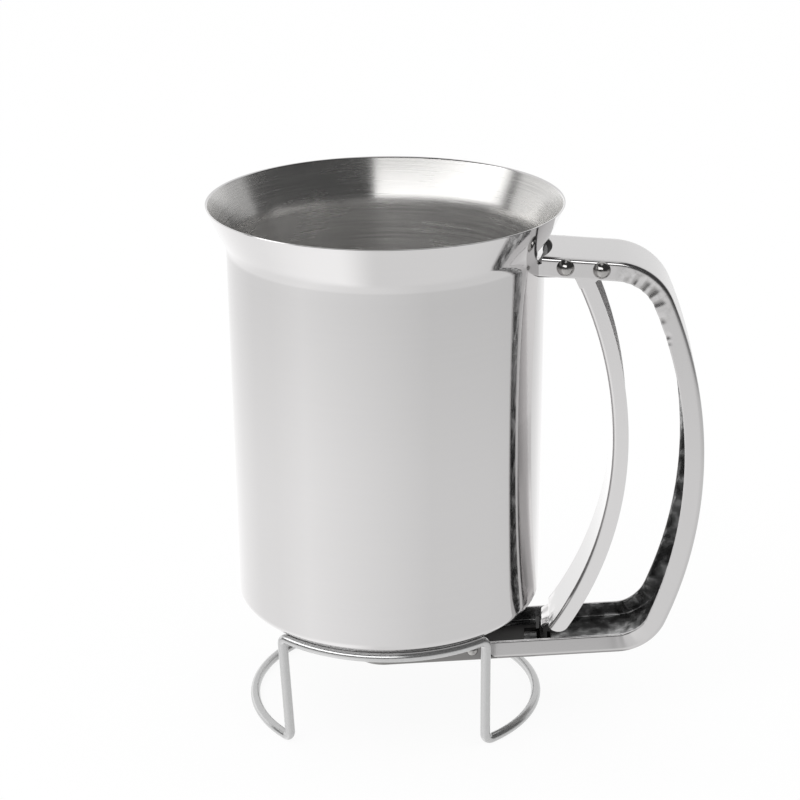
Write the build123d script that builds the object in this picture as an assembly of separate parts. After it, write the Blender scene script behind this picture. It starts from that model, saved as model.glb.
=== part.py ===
"""Batter dispenser: a flared steel cup over a trigger-worked slide valve, resting on a wire stand.

Millimetres and degrees. +Z is up, the origin is on the cup's axis at table level, and +X points from
the axis to the handle. The lower arm is tilted, so its parts are drawn in the arm frame: s runs along
the arm from the cup's axis, v across it and n square to it, from the underside of the valve trough.
"""

import os
from math import acos, asin, atan2, cos, degrees, hypot, radians, sin, sqrt, tan

from build123d import *

# ---- cup ----
CUP_BASE = 37.0            # height of the cup's floor above the table
CUP_HEIGHT = 125.0         # floor to rim
CUP_RADIUS = 46.7          # outside, below the flare
FLARE_REACH = 5.8          # how far the rim stands out past the wall
FLARE_HEIGHT = 12.3        # of the flared mouth
FLARE_BLEND = 9.0          # radius between the flare and the wall
CUP_CORNER = 4.0           # outside radius of the bottom corner
CUP_SHEET = 0.8
RIM_EDGE = 0.4             # rounding of the rim's inner edge

# ---- outlet under the cup ----
FLOOR_HOLE = 24.0          # radius of the hole in the cup's floor
FUNNEL_FLANGE = 5.0        # width of the ring that is welded under the floor
NECK_RISE = 3.1            # cap's upper face to the foot of the cone
FUNNEL_SHEET = 0.8
FUNNEL_BEND = 2.0          # radius of the funnel's two bends
NECK_BORE = 6.0            # radius inside the funnel's neck
OUTLET_BORE = 5.5          # radius of the pouring hole
EYELET_SHEET = 0.8
EYELET_LIP = 1.7           # how far the eyelet stands below the trough
EYELET_FLANGE = 2.4        # width of the ring that the slide runs on

# ---- sheet metal of the handle, the lever and the trough ----
SHEET = 0.8
BEND = 1.2                 # outside radius of the long bends
FIT = 0.1                  # gap between nested channels
RUNNING = 0.05             # radial clearance round a rivet, and under the slide

# ---- handle ----
HANDLE_WIDTH = 25.0
HANDLE_DEPTH = 5.8         # height of the channel's side walls
TOP_ARM_DROP = 13.25       # rim to the top arm, at the cup's wall
TOP_ARM_TILT = 3.1         # fall of the top arm, going outwards
TOP_BEND = 19.2            # outside radius between the top arm and the grip
GRIP_REACH = 48.35         # cup's wall to the grip's outermost point
GRIP_RADIUS = 135.0        # bow of the grip
GRIP_RISE = 0.4            # grip's outermost point over the middle of the two arms' roots
LOW_BEND = 16.7            # outside radius between the grip and the lower arm
ARM_TILT = 5.4             # rise of the lower arm, going outwards
VALVE_DROP = 22.3          # cup's floor to the trough's underside, on the cup's axis
NOTCH_RADIUS = 27.0        # hollow end of the top arm's web
NOTCH_GAP = 2.2            # from the cup's wall to the web, at the middle
WALL_START = 32.5          # s where the handle's full-width walls begin
WALL_CORNER = 2.5          # radius of their lower corner
EAR_START = 20.8           # s where the handle's narrow end and its two ears begin
EAR_RELIEF = 1.0           # slit between the ears and the walls
EAR_DROP = 0.4             # trough's upper edge to the ears'

# ---- rivets ----
RIVET_HEAD = 2.6           # radius of the upper rivets' domed heads
RIVET_RISE = 2.0
RIVET_SHANK = 1.1
RIVET_DEPTH = 2.8          # web's outer face to the upper rivets' axes
BRACKET_RIVET = 6.1        # cup's wall to the rivet in the bracket
PIVOT_REACH = 16.5         # cup's wall to the lever's pivot
LOW_RIVET_S = 27.0
LOW_RIVET_GAP = 0.2        # slide to the rivet's shank
LOW_RIVET_HEAD = 1.9
LOW_RIVET_RISE = 1.3
LOW_RIVET_SHANK = 1.0

# ---- bracket between the cup and the top arm ----
BRACKET_SHEET = 0.8
BRACKET_DROP = 3.1         # rivet's axis to the bracket's lower edge
BRACKET_RISE = 1.5         # rivet's axis to its upper edge
BRACKET_NOSE = 2.2         # rivet's axis to the end of the ears

# ---- trigger lever ----
LEVER_SIDE_GAP = 0.7       # lever to the handle's inner faces
LEVER_DEPTH = 4.7
LEVER_TOP = (-7.5, -3.2)   # upper end of the web, from the pivot: outwards, up
LEVER_BELLY = (4.8, -56.0)  # the web's outermost point, from the pivot
LEVER_FOOT_X = -13.0       # lower end of the web, from the pivot, outwards
LEVER_FOOT_N = 10.0        # n of the web's lower end
LEVER_END_RADIUS = 3.4     # rounding of the side walls' lower end
EYE_RADIUS = 1.7           # of the lever's walls round the pivot
NECK_SHARE = 0.06          # share of the upper arc where those walls start to reach for the eye
TONGUE_WIDTH = 12.0
TONGUE_REACH = 2.4         # step towards the cup from the web's end to the tongue's tip
TONGUE_KNEE = 1.65         # drop from the web's end to the tongue's bend
TONGUE_LAP = 2.0           # length along which the tongue joins the web
TONGUE_TIP_N = 5.4         # n of the tongue's tip

# ---- valve trough and its cap ----
TROUGH_INSET = 1.5         # handle's outer face to the trough's
TROUGH_HEIGHT = 6.0
TROUGH_WALL_END = 32.2     # s where the trough's side walls stop
LAP_END = 42.0             # s where the trough's tongue under the handle stops
LAP_INSET = 2.5            # handle's edge to that tongue's edge
CAP_END = 19.0             # s where the cap stops
CAP_SHEET = 0.8

# ---- slide ----
SLIDE_SHEET = 1.0
SLIDE_SIDE_GAP = 0.3       # slide to the ears that guide it
SLIDE_NECK_S = 35.0        # s where the slide narrows
YOKE_MARGIN = 0.5          # tabs' edges past the tongue's edges
YOKE_TOP_N = 6.5           # n of the top of its two upright tabs
YOKE_GAP = 2.4             # between the tabs, for the lever's tongue
YOKE_SHIFT = 0.3           # gap's centre past the tongue's, for the tongue's tilt
LANCE_EDGE = 2.5           # strip left beside the tab that is cut from the slide's middle
LANCE_KERF = 0.3

# ---- return spring ----
SPRING_WIRE = 0.5
SPRING_GAP = 0.1           # coil to the pivot's shank
SPRING_TURNS = 7
SPRING_PITCH = 0.62
SPRING_LEG = 6.0
SPRING_DROP = 8.0          # pivot to the end of the leg inside the lever
SPRING_REST = 0.3          # that leg to the web

# ---- stand ----
WIRE_RADIUS = 1.5
STAND_INSET = 2.1          # cup's wall to the middle of the wire
STAND_SPREAD = 43.0        # half the angle of each upper arc
STAND_BEND = 2.3           # radius of the corners, to the middle of the wire
STAND_TURN = 1.5           # of the stand about the cup's axis, from the handle's plane
SEAT_GAP = 0.1             # cup to wire

RIM_HEIGHT = CUP_BASE + CUP_HEIGHT
RIM_RADIUS = CUP_RADIUS + FLARE_REACH
TROUGH_BASE = CUP_BASE - VALVE_DROP
TROUGH_WIDTH = HANDLE_WIDTH - 2 * TROUGH_INSET
EAR_OUTER = TROUGH_WIDTH / 2 - SHEET - FIT
EAR_INNER = EAR_OUTER - SHEET
SLIDE_LOW = 2 * SHEET + RUNNING
SLIDE_HIGH = SLIDE_LOW + SLIDE_SHEET
LOW_RIVET_N = SLIDE_HIGH + LOW_RIVET_GAP + LOW_RIVET_SHANK
EAR_HEIGHT = TROUGH_HEIGHT - EAR_DROP - SHEET
STAND_RADIUS = CUP_RADIUS - STAND_INSET
LEVER_WIDTH = HANDLE_WIDTH - 2 * (SHEET + LEVER_SIDE_GAP)
LEVEL = Plane.XY
CROSS_WISE = (0, 1, 0)


# ---- places worked out from the sizes above ----

def arm_frame():
    """The lower arm's own plane: x is s, y is v, z is n."""
    tilt = radians(ARM_TILT)
    return Plane(
        origin=(0, 0, TROUGH_BASE),
        x_dir=(cos(tilt), 0, sin(tilt)),
        z_dir=(-sin(tilt), 0, cos(tilt)),
    )


ARM = arm_frame()
TOP_DIRECTION = Vector(cos(radians(TOP_ARM_TILT)), -sin(radians(TOP_ARM_TILT)))
TOP_INWARD = Vector(-sin(radians(TOP_ARM_TILT)), -cos(radians(TOP_ARM_TILT)))
LOW_DIRECTION = Vector(cos(radians(ARM_TILT)), sin(radians(ARM_TILT)))
LOW_INWARD = Vector(-sin(radians(ARM_TILT)), cos(radians(ARM_TILT)))
TOP_START = Vector(CUP_RADIUS, RIM_HEIGHT - TOP_ARM_DROP)
LOW_START = Vector(0, TROUGH_BASE) + LOW_INWARD * SHEET
GRIP_CENTRE = Vector(
    CUP_RADIUS + GRIP_REACH - GRIP_RADIUS,
    (TOP_START.Y + LOW_START.Y) / 2 + GRIP_RISE,
)


def below_top_arm(reach):
    """Rivet axis under the top arm's web, at a distance from the cup's wall."""
    return TOP_START + TOP_DIRECTION * (reach / cos(radians(TOP_ARM_TILT))) + TOP_INWARD * RIVET_DEPTH


def on_arm(x, n):
    """Point of the side view, given its x and its n."""
    tilt = radians(ARM_TILT)
    return Vector(x, TROUGH_BASE + (n + x * sin(tilt)) / cos(tilt))


PIVOT = below_top_arm(PIVOT_REACH)
BRACKET_HOLE = below_top_arm(BRACKET_RIVET)
LEVER_TOP_POINT = PIVOT + Vector(*LEVER_TOP)
LEVER_BELLY_POINT = PIVOT + Vector(*LEVER_BELLY)
LEVER_FOOT_POINT = on_arm(PIVOT.X + LEVER_FOOT_X, LEVER_FOOT_N)
TONGUE_POINT = LEVER_FOOT_POINT - Vector(TONGUE_REACH, TONGUE_KNEE)


def in_arm(point):
    """s and n of a point given by its x and z."""
    local = ARM.to_local_coords(Vector(point.X, 0, point.Y))
    return local.X, local.Z


# ---- helpers ----

def polar(centre, radius, angle):
    return Vector(centre.X + radius * cos(radians(angle)), centre.Y + radius * sin(radians(angle)))


def bearing(centre, point):
    return degrees(atan2(point.Y - centre.Y, point.X - centre.X))


def arc(centre, radius, start, end):
    """Arc about a centre, from one bearing to another."""
    return ThreePointArc(
        polar(centre, radius, start), polar(centre, radius, (start + end) / 2), polar(centre, radius, end)
    )


def band(first, second):
    """Closed face between two open outlines that run the same way."""
    ends = [Line(first[0] @ 0, second[0] @ 0), Line(first[-1] @ 1, second[-1] @ 1)]
    return make_face([*first, *second, *ends])


def block(low, high):
    """Box between two corners."""
    size = [b - a for a, b in zip(low, high)]
    return Pos(*low) * Box(*size, align=(Align.MIN, Align.MIN, Align.MIN))


def across(face, width):
    """Side-view face, drawn in x and z, made as wide as given, centred on the handle's plane."""
    return extrude(Plane.XZ * face, width / 2, both=True)


def both_sides(piece):
    return piece + mirror(piece, Plane.XZ)


def round_bends(solid, outline, width, radius):
    """Rounds the two long bends along a side-view outline."""
    lines = [Plane.XZ * edge for edge in outline]

    def on_bend(edge):
        middle = edge @ 0.5
        flat = Vector(middle.X, 0, middle.Z)
        return abs(abs(middle.Y) - width / 2) < 0.01 and min(line.distance_to(flat) for line in lines) < 0.01

    return fillet(solid.edges().filter_by(on_bend), radius)


def cross_hole(centre, radius, width):
    """Cylinder along v through a point of the side view."""
    return Pos(centre.X, 0, centre.Y) * Rot(X=90) * Cylinder(radius, width)


def dome_rivet(width, head, rise, shank):
    """Rivet along z with a domed head at each end, outside a stack of the given width."""
    sphere = (head**2 + rise**2) / (2 * rise)
    half = width / 2
    top = half + rise
    shoulder = Vector(head, half)
    crown = Vector(sphere * sin(asin(head / sphere) / 2), top - sphere * (1 - cos(asin(head / sphere) / 2)))
    profile = [
        Line((0, 0), (shank, 0)),
        Line((shank, 0), (shank, half)),
        Line((shank, half), shoulder),
        ThreePointArc(shoulder, crown, Vector(0, top)),
        Line((0, top), (0, 0)),
    ]
    end = revolve(Plane.XZ * make_face(profile), Axis.Z)
    return end + mirror(end, Plane.XY)


def rod(start, end, radius):
    """Round bar between two points."""
    start, end = Vector(*start), Vector(*end)
    run = end - start
    return extrude(Plane(origin=start, z_dir=run) * Circle(radius), run.length)


# ---- cup and outlet ----

def cup():
    flare_foot = Vector(CUP_RADIUS, RIM_HEIGHT - FLARE_HEIGHT)
    bottom = Vector(CUP_RADIUS, CUP_BASE)
    skin = FilletPolyline(
        (FLOOR_HOLE, CUP_BASE), bottom, flare_foot, (RIM_RADIUS, RIM_HEIGHT), radius=[CUP_CORNER, FLARE_BLEND]
    )
    wall = offset(skin, CUP_SHEET, side=Side.LEFT, closed=True)
    section = make_face(wall.edges())
    above_rim = Rectangle(4 * CUP_SHEET, 2 * CUP_SHEET, align=(Align.CENTER, Align.MIN))
    section -= Pos(RIM_RADIUS, RIM_HEIGHT) * above_rim
    inner_corner = section.vertices().group_by(Axis.Y)[-1].sort_by(Axis.X)[0]
    return revolve(Plane.XZ * fillet(inner_corner, RIM_EDGE), Axis.Z)


def outlet_funnel():
    """Cone and neck, welded under the floor; the neck's end is square to the tilted slide."""
    neck = NECK_BORE + FUNNEL_SHEET
    top = CUP_BASE - FUNNEL_SHEET
    cone_foot = TROUGH_BASE + TROUGH_HEIGHT + CAP_SHEET + NECK_RISE
    skin = FilletPolyline(
        (FLOOR_HOLE + FUNNEL_FLANGE, top), (FLOOR_HOLE, top), (neck, cone_foot), (neck, TROUGH_BASE),
        radius=FUNNEL_BEND,
    )
    wall = offset(skin, FUNNEL_SHEET, side=Side.RIGHT, closed=True)
    solid = revolve(Plane.XZ * make_face(wall.edges()), Axis.Z)
    below_neck = block((-VALVE_DROP, -VALVE_DROP, -VALVE_DROP), (VALVE_DROP, VALVE_DROP, SLIDE_HIGH + FIT))
    return solid - ARM * below_neck


def outlet_eyelet():
    """Flanged ring pressed into the trough; the slide runs on its flange."""
    outside = OUTLET_BORE + EYELET_SHEET
    tube = Pos(0, 0, -EYELET_LIP) * extrude(LEVEL * Circle(outside), EYELET_LIP + SHEET)
    flange = Pos(0, 0, SHEET) * extrude(LEVEL * Circle(outside + EYELET_FLANGE - EYELET_SHEET), EYELET_SHEET)
    bore = Cylinder(OUTLET_BORE, 4 * (EYELET_LIP + SHEET))
    ring = tube + flange - bore
    mouth = ring.edges().filter_by(GeomType.CIRCLE).group_by(Axis.Z)[0]
    return ARM * fillet(mouth, EYELET_SHEET / 3)


# ---- valve trough ----

def trough_outline(half_width, end):
    """Rounded at the outlet, straight along the arm."""
    return Circle(half_width) + Pos(end / 2, 0) * Rectangle(end, 2 * half_width)


def low_rivet_hole():
    return Pos(LOW_RIVET_S, 0, LOW_RIVET_N) * Rot(X=90) * Cylinder(LOW_RIVET_SHANK, 2 * HANDLE_WIDTH)


def valve_trough():
    half = TROUGH_WIDTH / 2
    pan = extrude(trough_outline(half, TROUGH_WALL_END), TROUGH_HEIGHT)
    foot = pan.edges().group_by(Axis.Z)[0].filter_by(lambda edge: (edge @ 0.5).X < TROUGH_WALL_END - 0.1)
    pan = fillet(foot, BEND)
    pan -= Pos(0, 0, SHEET) * extrude(trough_outline(half - SHEET, TROUGH_WALL_END + 1), TROUGH_HEIGHT)
    lap = HANDLE_WIDTH / 2 - LAP_INSET
    pan += block((TROUGH_WALL_END - BEND, -lap, 0), (LAP_END, lap, SHEET))
    pan -= Cylinder(OUTLET_BORE + EYELET_SHEET, 4 * SHEET)
    return ARM * (pan - low_rivet_hole())


def trough_cap():
    """Plate welded over the trough, round the funnel's neck."""
    plate = Pos(0, 0, TROUGH_HEIGHT) * extrude(trough_outline(TROUGH_WIDTH / 2, CAP_END), CAP_SHEET)
    neck = Pos(0, 0, TROUGH_BASE) * Cylinder(NECK_BORE + FUNNEL_SHEET + RUNNING, 2 * VALVE_DROP)
    return ARM * plate - neck


def trough_rivet():
    rivet = dome_rivet(TROUGH_WIDTH, LOW_RIVET_HEAD, LOW_RIVET_RISE, LOW_RIVET_SHANK)
    return ARM * (Pos(LOW_RIVET_S, 0, LOW_RIVET_N) * Rot(X=90) * rivet)


def valve_slide():
    """Strip that covers the outlet, with two upright tabs that hold the lever's tongue."""
    half = EAR_INNER - SLIDE_SIDE_GAP
    tail = TONGUE_WIDTH / 2 + YOKE_MARGIN
    tongue_s, tongue_n = in_arm(TONGUE_POINT + Vector(SHEET / 2, 0))
    drift = (TONGUE_TIP_N - tongue_n) * tan(radians(ARM_TILT)) / 2
    centre = tongue_s + drift + YOKE_SHIFT
    end_tab = centre + YOKE_GAP / 2
    lanced_tab = centre - YOKE_GAP / 2 - SLIDE_SHEET
    tab_height = YOKE_TOP_N - SLIDE_HIGH
    lanced = tail - LANCE_EDGE
    strip = extrude(trough_outline(half, SLIDE_NECK_S), SLIDE_SHEET)
    strip = fillet(strip.edges().filter_by(Axis.Z).sort_by(Axis.X)[-2:], (half - tail) / 2)
    strip = Pos(0, 0, SLIDE_LOW) * strip
    strip += block((SLIDE_NECK_S - half, -tail, SLIDE_LOW), (end_tab + SLIDE_SHEET, tail, SLIDE_HIGH))
    strip += block((end_tab, -tail, SLIDE_LOW), (end_tab + SLIDE_SHEET, tail, YOKE_TOP_N))
    window_start = lanced_tab - tab_height - LANCE_KERF
    strip -= block((window_start, -lanced - LANCE_KERF, 0), (lanced_tab, lanced + LANCE_KERF, YOKE_TOP_N))
    strip += block((lanced_tab, -lanced, SLIDE_LOW), (lanced_tab + SLIDE_SHEET, lanced, YOKE_TOP_N))
    return ARM * strip


# ---- handle ----

def bend_centre(start, direction, inward, radius):
    """Centre of a bend that is tangent to an arm and, from inside, to the grip's bow."""
    base = start + inward * radius - GRIP_CENTRE
    along = base.dot(direction)
    reach = (GRIP_RADIUS - radius) ** 2 - base.dot(base)
    return GRIP_CENTRE + base + direction * (-along + sqrt(along**2 + reach))


def handle_outline(inset):
    """Side outline at a depth under the handle's outer face, from the cup round to the lower arm."""
    high = bend_centre(TOP_START, TOP_DIRECTION, TOP_INWARD, TOP_BEND)
    low = bend_centre(LOW_START, LOW_DIRECTION, LOW_INWARD, LOW_BEND)
    high_bearing = bearing(GRIP_CENTRE, high)
    low_bearing = bearing(GRIP_CENTRE, low)
    top_arc = arc(high, TOP_BEND - inset, 90 - TOP_ARM_TILT, high_bearing)
    grip_arc = arc(GRIP_CENTRE, GRIP_RADIUS - inset, high_bearing, low_bearing)
    low_arc = arc(low, LOW_BEND - inset, low_bearing, ARM_TILT - 90)
    top_line = Line(TOP_START - TOP_DIRECTION * 4 + TOP_INWARD * inset, top_arc @ 0)
    low_line = Line(low_arc @ 1, LOW_START + LOW_DIRECTION * EAR_START + LOW_INWARD * inset)
    return [top_line, top_arc, grip_arc, low_arc, low_line]


def low_end_cut():
    """What is cut from one side at the lower end, to leave a narrow end and a wall with a rounded corner."""
    past = block((0, EAR_OUTER, 0), (WALL_START, HANDLE_WIDTH, 2 * HANDLE_DEPTH))
    round_centre = (WALL_START + WALL_CORNER, SHEET + WALL_CORNER)
    corner = Pos(*round_centre) * Rectangle(2 * WALL_CORNER, 2 * WALL_CORNER, align=(Align.MAX, Align.MAX))
    corner -= Pos(*round_centre) * Circle(WALL_CORNER)
    inside = HANDLE_WIDTH / 2 - SHEET - RUNNING
    return past + extrude(Plane.XZ.offset(-inside) * corner, -HANDLE_WIDTH)


def handle_ear():
    """Flange bent up from the narrow end, inside the trough's wall."""
    ear = block((EAR_START, EAR_INNER, SHEET), (WALL_START - EAR_RELIEF, EAR_OUTER, SHEET + EAR_HEIGHT))
    corners = ear.edges().filter_by(Axis.Y).group_by(Axis.Z)[-1]
    return fillet(corners, EAR_HEIGHT / 3)


def handle_channel():
    outer = handle_outline(0)
    body = across(band(outer, handle_outline(HANDLE_DEPTH)), HANDLE_WIDTH)
    body = round_bends(body, outer, HANDLE_WIDTH, BEND)
    body -= across(band(handle_outline(SHEET), handle_outline(HANDLE_DEPTH + 2)), HANDLE_WIDTH - 2 * SHEET)
    body -= Pos(0, 0, TOP_START.Y) * Cylinder(CUP_RADIUS, 4 * HANDLE_DEPTH)
    notch_centre = CUP_RADIUS + NOTCH_GAP - NOTCH_RADIUS
    body -= Pos(notch_centre, 0, TOP_START.Y) * Cylinder(NOTCH_RADIUS, 2 * (SHEET + BEND))
    body -= cross_hole(BRACKET_HOLE, RIVET_SHANK, 2 * HANDLE_WIDTH)
    body -= cross_hole(PIVOT, RIVET_SHANK, 2 * HANDLE_WIDTH)
    body -= ARM * both_sides(low_end_cut())
    body += ARM * both_sides(handle_ear())
    return body - ARM * low_rivet_hole()


def upright_rivet(centre):
    rivet = dome_rivet(HANDLE_WIDTH, RIVET_HEAD, RIVET_RISE, RIVET_SHANK)
    return Pos(centre.X, 0, centre.Y) * Rot(X=90) * rivet


def cup_bracket():
    """Clip welded to the cup; its two ears take the rivet inside the top arm."""
    outer = HANDLE_WIDTH / 2 - SHEET - FIT
    inner = outer - BRACKET_SHEET
    nose = BRACKET_HOLE.X + BRACKET_NOSE
    cup_side = Pos(nose, 0) * Rectangle(nose, 2 * outer, align=(Align.MAX, Align.CENTER))
    pad = Circle(CUP_RADIUS + BRACKET_SHEET) & cup_side
    ear = Pos(0, (inner + outer) / 2) * Rectangle(nose, BRACKET_SHEET, align=(Align.MIN, Align.CENTER))
    plan = pad + ear + mirror(ear, Plane.XZ) - Circle(CUP_RADIUS)
    low = BRACKET_HOLE.Y - BRACKET_DROP
    clip = Pos(0, 0, low) * extrude(plan, BRACKET_DROP + BRACKET_RISE)
    clip = max(clip.solids(), key=lambda solid: solid.center().X)
    noses = clip.edges().filter_by(Axis.Y).filter_by(lambda edge: (edge @ 0.5).X > nose - 0.01)
    clip = fillet(noses, BRACKET_RISE)
    return clip - cross_hole(BRACKET_HOLE, RIVET_SHANK, 2 * HANDLE_WIDTH)


# ---- trigger ----

def lever_arc(end):
    """Centre and radius of the arc that is upright at the belly and passes through an end of the web."""
    sag = LEVER_BELLY_POINT.X - end.X
    half_chord = end.Y - LEVER_BELLY_POINT.Y
    radius = (sag**2 + half_chord**2) / (2 * sag)
    return LEVER_BELLY_POINT - Vector(radius, 0), radius


def lever_outline(depth):
    """Side outline at a depth behind the lever's web, from its upper end to its foot."""
    top_centre, top_radius = lever_arc(LEVER_TOP_POINT)
    foot_centre, foot_radius = lever_arc(LEVER_FOOT_POINT)
    upper = arc(top_centre, top_radius + depth, bearing(top_centre, LEVER_TOP_POINT), 0)
    lower = arc(foot_centre, foot_radius + depth, 0, bearing(foot_centre, LEVER_FOOT_POINT))
    return [upper, lower]


def lever_ears():
    """Side view of the walls above the web, round the pivot."""
    web, rim = lever_outline(0)[0], lever_outline(LEVER_DEPTH)[0]
    eye = Pos(PIVOT.X, PIVOT.Y) * Circle(EYE_RADIUS)
    neck = Polyline(web @ 0, web @ NECK_SHARE, rim @ NECK_SHARE, rim @ 0, close=True)
    return make_hull([*eye.edges(), *neck.edges()])


def lever_tongue():
    """Side view of the tongue: on from the web, then straight down to its tip."""
    web = lever_outline(0)[1]
    tip = on_arm(TONGUE_POINT.X, TONGUE_TIP_N)
    spine = FilletPolyline(web @ 1 - (web % 1) * TONGUE_LAP, web @ 1, TONGUE_POINT, tip, radius=BEND)
    strip = offset(spine, SHEET, side=Side.LEFT, closed=True)
    return make_face(strip.edges())


def trigger_lever():
    web = lever_outline(0)
    rim = lever_outline(LEVER_DEPTH)
    side = band(web, rim)
    low_corner = side.vertices().filter_by(lambda corner: (corner.center() - rim[1] @ 1).length < 0.01)
    side = fillet(low_corner, LEVER_END_RADIUS)
    body = round_bends(across(side, LEVER_WIDTH), web, LEVER_WIDTH, BEND)
    body -= across(band(lever_outline(SHEET), lever_outline(LEVER_DEPTH + 5)), LEVER_WIDTH - 2 * SHEET)
    ears = across(lever_ears(), LEVER_WIDTH) - across(lever_ears(), LEVER_WIDTH - 2 * SHEET)
    body += ears
    body += across(lever_tongue(), TONGUE_WIDTH)
    return body - cross_hole(PIVOT, RIVET_SHANK + RUNNING, 2 * LEVER_WIDTH)


def trigger_spring():
    """Torsion coil on the pivot: one leg under the handle's web, the other inside the lever."""
    radius = RIVET_SHANK + SPRING_GAP + SPRING_WIRE / 2
    centre, web_radius = lever_arc(LEVER_TOP_POINT)
    level = PIVOT.Y - SPRING_DROP - centre.Y
    reach = web_radius + SHEET + SPRING_REST + SPRING_WIRE / 2
    foot = Vector(centre.X + sqrt(reach**2 - level**2) - PIVOT.X, -SPRING_DROP)
    sweep_angle = degrees(atan2(foot.X, foot.Y)) + 360 - degrees(acos(radius / foot.length))
    turns = SPRING_TURNS + sweep_angle / 360
    length = turns * SPRING_PITCH
    frame = Plane(origin=(PIVOT.X, -length / 2, PIVOT.Y), x_dir=(0, 0, 1), z_dir=CROSS_WISE)
    path = frame * Helix(SPRING_PITCH, length, radius)
    start, end = path @ 0, path @ 1
    coil = sweep(Plane(origin=start, z_dir=path % 0) * Circle(SPRING_WIRE / 2), path)
    web_leg = rod(start, start - (path % 0) * SPRING_LEG, SPRING_WIRE / 2)
    lever_leg = rod(end, end + (path % 1) * sqrt(foot.length**2 - radius**2), SPRING_WIRE / 2)
    return coil + web_leg + lever_leg


# ---- stand ----

def wire_stand():
    """One bent wire: two upper arcs under the cup, four legs, two arcs on the table."""
    rise = CUP_CORNER + WIRE_RADIUS + SEAT_GAP
    offset_in = max(0.0, STAND_RADIUS - (CUP_RADIUS - CUP_CORNER))
    high = CUP_BASE + CUP_CORNER - sqrt(rise**2 - offset_in**2)
    low = WIRE_RADIUS
    trim = degrees(atan2(STAND_BEND, STAND_RADIUS))
    leg_radius = hypot(STAND_RADIUS, STAND_BEND)
    section = Circle(WIRE_RADIUS)
    wire = None
    for facing, height, half_angle in ((90, high, STAND_SPREAD), (0, low, 90 - STAND_SPREAD)):
        reach = half_angle - trim
        ring = revolve(Plane.XZ * Pos(STAND_RADIUS, height) * section, Axis.Z, 2 * reach)
        for turn in (facing, facing + 180):
            piece = Rot(Z=turn - reach) * ring
            wire = piece if wire is None else wire + piece
    up = high - STAND_BEND
    down = low + STAND_BEND
    for quarter in (90 - STAND_SPREAD, 90 + STAND_SPREAD, 270 - STAND_SPREAD, 270 + STAND_SPREAD):
        leg = polar(Vector(0, 0), leg_radius, quarter)
        wire += rod((leg.X, leg.Y, down), (leg.X, leg.Y, up), WIRE_RADIUS)
        upper_side = 1 if quarter % 180 < 90 else -1
        for level, side, half_turn in ((up, upper_side, 1), (down, -upper_side, -1)):
            arc_end = polar(Vector(0, 0), STAND_RADIUS, quarter + side * trim)
            inward = Vector(arc_end.X - leg.X, arc_end.Y - leg.Y, 0).normalized()
            hinge = Axis((arc_end.X, arc_end.Y, level), inward.cross(Vector(0, 0, half_turn)))
            foot = Plane(origin=(leg.X, leg.Y, level), z_dir=(0, 0, 1)) * section
            wire += revolve(foot, hinge, -90)
    return Rot(Z=STAND_TURN) * wire


PARTS = {
    "cup": cup,
    "outlet_funnel": outlet_funnel,
    "outlet_eyelet": outlet_eyelet,
    "valve_trough": valve_trough,
    "trough_cap": trough_cap,
    "trough_rivet": trough_rivet,
    "valve_slide": valve_slide,
    "handle_channel": handle_channel,
    "cup_bracket": cup_bracket,
    "bracket_rivet": lambda: upright_rivet(BRACKET_HOLE),
    "trigger_pivot": lambda: upright_rivet(PIVOT),
    "trigger_lever": trigger_lever,
    "trigger_spring": trigger_spring,
    "wire_stand": wire_stand,
}


def main():
    os.makedirs("parts", exist_ok=True)
    for name, make in PARTS.items():
        export_step(make(), f"parts/{name}.step")


main()
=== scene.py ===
"""Looks of a steel batter dispenser: polished cup and handle, valve parts, rivets and a wire stand.

Metres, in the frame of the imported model: +Z up, origin on the cup's axis at table level, +X to the
handle. Shapes are worked out in millimetres and scaled when they become meshes.
"""

from math import asin, atan2, cos, degrees, pi, radians, sin, sqrt, tan

import bpy
from mathutils import Matrix, Vector, noise


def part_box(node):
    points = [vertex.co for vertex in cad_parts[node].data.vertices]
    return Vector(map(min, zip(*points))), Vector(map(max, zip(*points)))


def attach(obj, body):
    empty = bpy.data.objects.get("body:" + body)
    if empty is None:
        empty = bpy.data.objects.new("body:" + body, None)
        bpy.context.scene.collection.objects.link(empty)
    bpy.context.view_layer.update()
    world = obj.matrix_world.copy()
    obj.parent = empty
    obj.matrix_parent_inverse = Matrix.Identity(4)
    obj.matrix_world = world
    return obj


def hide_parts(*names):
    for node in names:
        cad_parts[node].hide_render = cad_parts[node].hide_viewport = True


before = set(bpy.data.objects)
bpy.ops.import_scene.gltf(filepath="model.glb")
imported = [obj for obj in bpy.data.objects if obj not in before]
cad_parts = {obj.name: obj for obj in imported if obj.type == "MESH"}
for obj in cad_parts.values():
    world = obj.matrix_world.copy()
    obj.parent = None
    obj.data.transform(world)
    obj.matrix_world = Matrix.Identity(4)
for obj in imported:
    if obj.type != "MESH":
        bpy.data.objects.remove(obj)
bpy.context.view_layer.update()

MM = 0.001

# ---- sizes of the pieces that are modelled here, in millimetres and degrees ----
CUP_BASE = 37.0
CUP_RADIUS = 46.7
RIM_RADIUS = 52.5
RIM_HEIGHT = 162.0
FLARE_HEIGHT = 12.3
FLARE_BLEND = 9.0
CUP_CORNER = 4.0
FLOOR_HOLE = 24.0
SHEET = 0.8
BEND = 1.2
EDGE = 0.16                # rounding of a sheet's cut edge

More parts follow.
